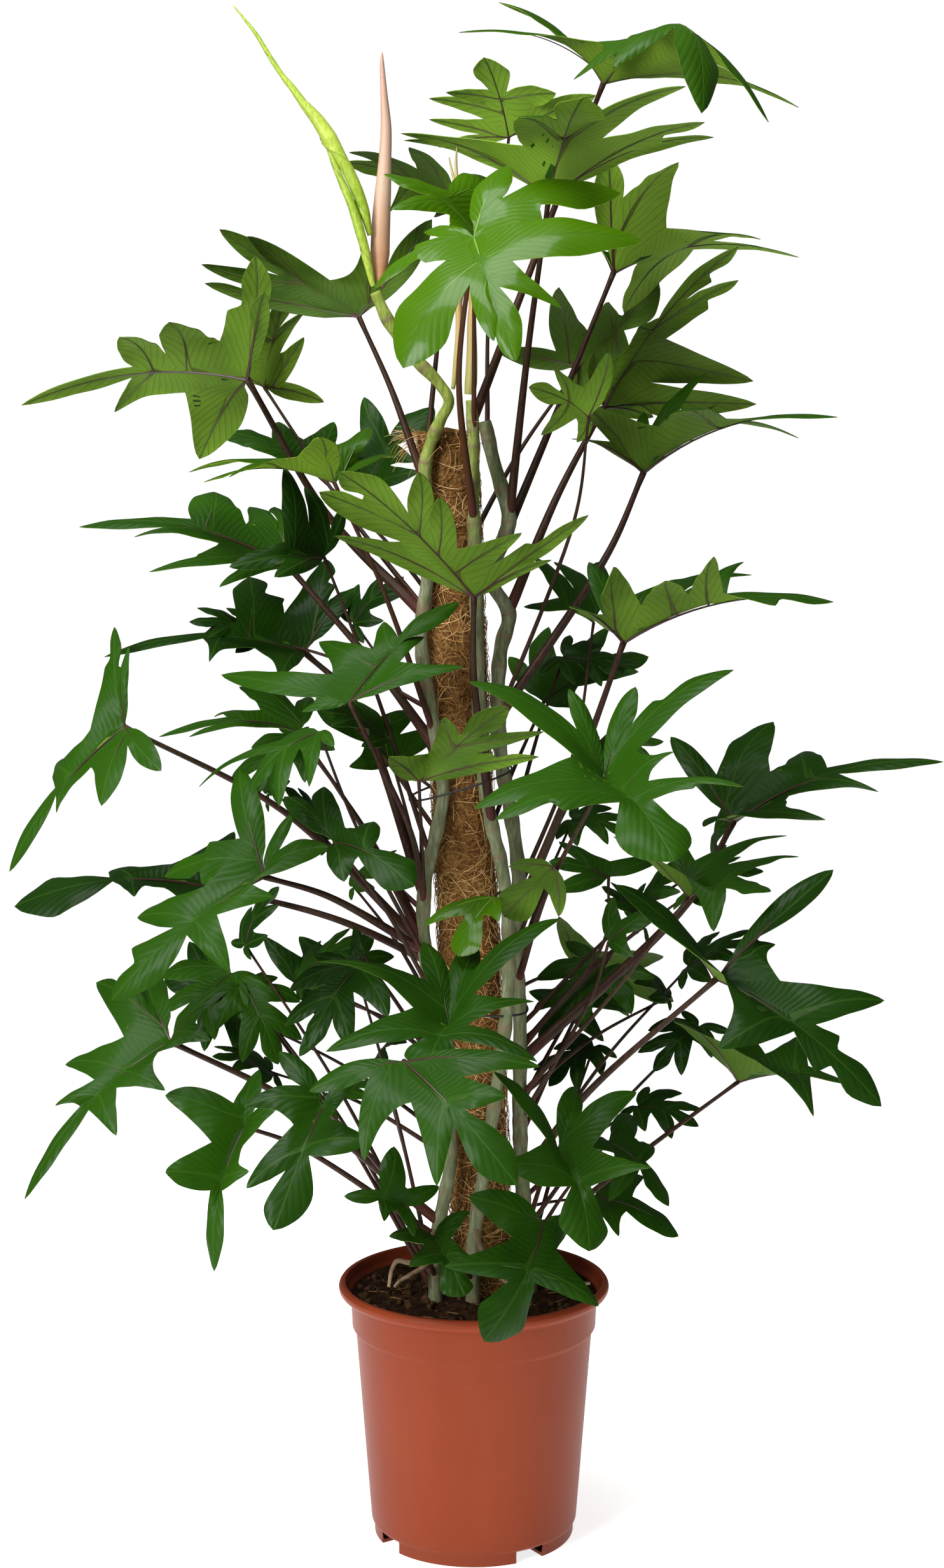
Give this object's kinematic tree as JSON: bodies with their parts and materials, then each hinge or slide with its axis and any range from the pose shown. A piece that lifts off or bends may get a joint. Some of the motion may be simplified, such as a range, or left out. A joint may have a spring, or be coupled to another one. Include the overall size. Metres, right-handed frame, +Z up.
{
  "type": "potted philodendron pedatum",
  "caption": "Climbing house plant with deeply cut glossy leaves, tied to a coir pole in a round terracotta-coloured plastic nursery pot.",
  "frame": {"origin": "middle of the pot's flat underside, on the pot's axis", "axes": "+Z up along the pot's axis, -Y towards the front that the picture shows, +X to the viewer's right"},
  "size_m": [0.9408, 0.5908, 1.5254],
  "materials": {
    "pot_plastic": "terracotta-coloured moulded plastic, satin",
    "potting_soil": "dark crumbly potting soil",
    "stake_wood": "plain round wood",
    "coir_fibre": "matted coconut fibre",
    "tie_wire": "black coated wire",
    "vine_stem": "grey-green stem with pale rings and purple-brown stalks",
    "leafy_stem": "green stem and leaves, semi-gloss",
    "rolled_leaf": "bright green rolled new leaf, satin",
    "pink_sheath": "pink-tan leaf sheath, satin",
    "cream_sheath": "cream and orange-tan leaf sheaths, satin",
    "leaf_blade": "dark green leaf, semi-gloss above, paler and dull below"
  },
  "bodies": {
    "root": {"pot": "pot_plastic", "soil": "potting_soil", "pole_stake": "stake_wood", "pole_coir": "coir_fibre", "tie_upper": "tie_wire", "tie_lower": "tie_wire", "vine_left": "vine_stem", "vine_centre": "vine_stem", "vine_right": "vine_stem", "vine_back": "leafy_stem", "shoot_left": "rolled_leaf", "sheath_left": "pink_sheath", "shoot_centre": "cream_sheath", "leaf_01": "leaf_blade", "leaf_02": "leaf_blade", "leaf_03": "leaf_blade", "leaf_04": "leaf_blade", "leaf_05": "leaf_blade", "leaf_06": "leaf_blade", "leaf_07": "leaf_blade", "leaf_08": "leaf_blade", "leaf_09": "leaf_blade", "leaf_10": "leaf_blade", "leaf_11": "leaf_blade", "leaf_12": "leaf_blade", "leaf_13": "leaf_blade", "leaf_14": "leaf_blade", "leaf_15": "leaf_blade", "leaf_16": "leaf_blade", "leaf_17": "leaf_blade", "leaf_18": "leaf_blade", "leaf_19": "leaf_blade", "leaf_20": "leaf_blade", "leaf_21": "leaf_blade", "leaf_22": "leaf_blade", "leaf_23": "leaf_blade", "leaf_24": "leaf_blade", "leaf_25": "leaf_blade", "leaf_26": "leaf_blade", "leaf_27": "leaf_blade", "leaf_28": "leaf_blade", "leaf_29": "leaf_blade", "leaf_30": "leaf_blade", "leaf_31": "leaf_blade", "leaf_32": "leaf_blade", "leaf_33": "leaf_blade", "leaf_34": "leaf_blade", "leaf_35": "leaf_blade", "leaf_36": "leaf_blade", "leaf_37": "leaf_blade", "leaf_38": "leaf_blade", "leaf_39": "leaf_blade", "leaf_40": "leaf_blade", "leaf_41": "leaf_blade", "leaf_42": "leaf_blade", "leaf_43": "leaf_blade", "leaf_44": "leaf_blade", "leaf_45": "leaf_blade", "leaf_46": "leaf_blade", "leaf_47": "leaf_blade"}
  },
  "joints": []
}
